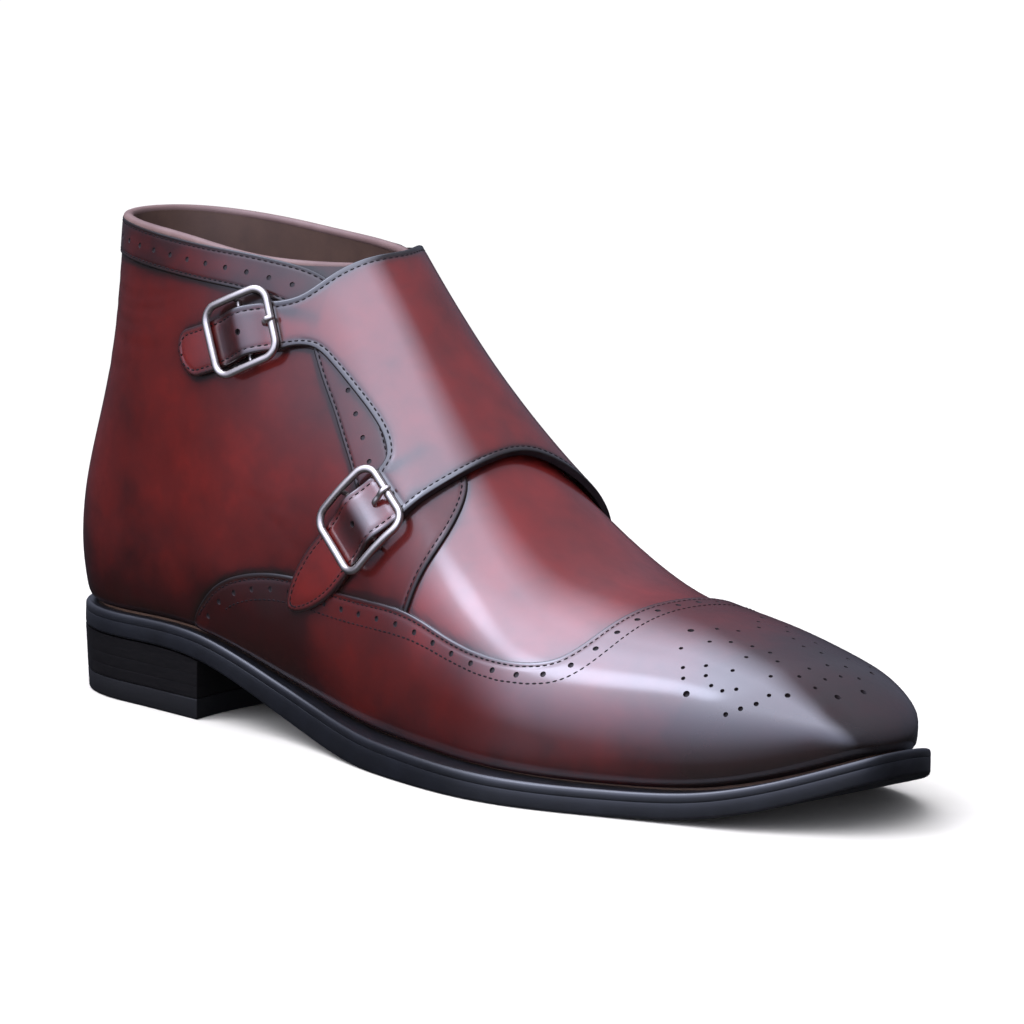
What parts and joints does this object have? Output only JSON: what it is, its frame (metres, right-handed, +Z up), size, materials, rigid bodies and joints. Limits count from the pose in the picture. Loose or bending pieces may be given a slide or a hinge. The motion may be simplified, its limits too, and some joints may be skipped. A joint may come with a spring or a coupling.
{
  "type": "buckled ankle boot",
  "caption": "Right ankle boot with a wing cap, a flap over the instep closed by buckled straps, and a welted leather sole with a stacked heel.",
  "frame": {"origin": "centre of the boot's bounding box, on the floor under the sole", "axes": "+X from the heel to the toe, +Y towards the inner side of the foot, +Z up"},
  "size_m": [0.3026, 0.1024, 0.1395],
  "materials": {
    "sole_leather": "black-stained leather, edge polished with wax",
    "welt_leather": "black-stained leather with stitches",
    "insole_leather": "undyed vegetable-tanned leather",
    "heel_leather": "stacked leather lifts, stained black",
    "top_lift_rubber": "matte black rubber",
    "upper_leather": "burgundy calf, hand burnished to near black at seams and toe",
    "strap_leather": "burgundy calf, edges inked black",
    "buckle_metal": "polished nickel plate"
  },
  "bodies": {
    "root": {"outsole": "sole_leather", "welt": "welt_leather", "insole": "insole_leather", "heel_stack": "heel_leather", "heel_top_lift": "top_lift_rubber", "upper": "upper_leather", "strap_flap": "strap_leather", "upper_buckle": "buckle_metal", "lower_buckle": "buckle_metal", "upper_prong": "buckle_metal", "lower_prong": "buckle_metal"}
  },
  "joints": []
}
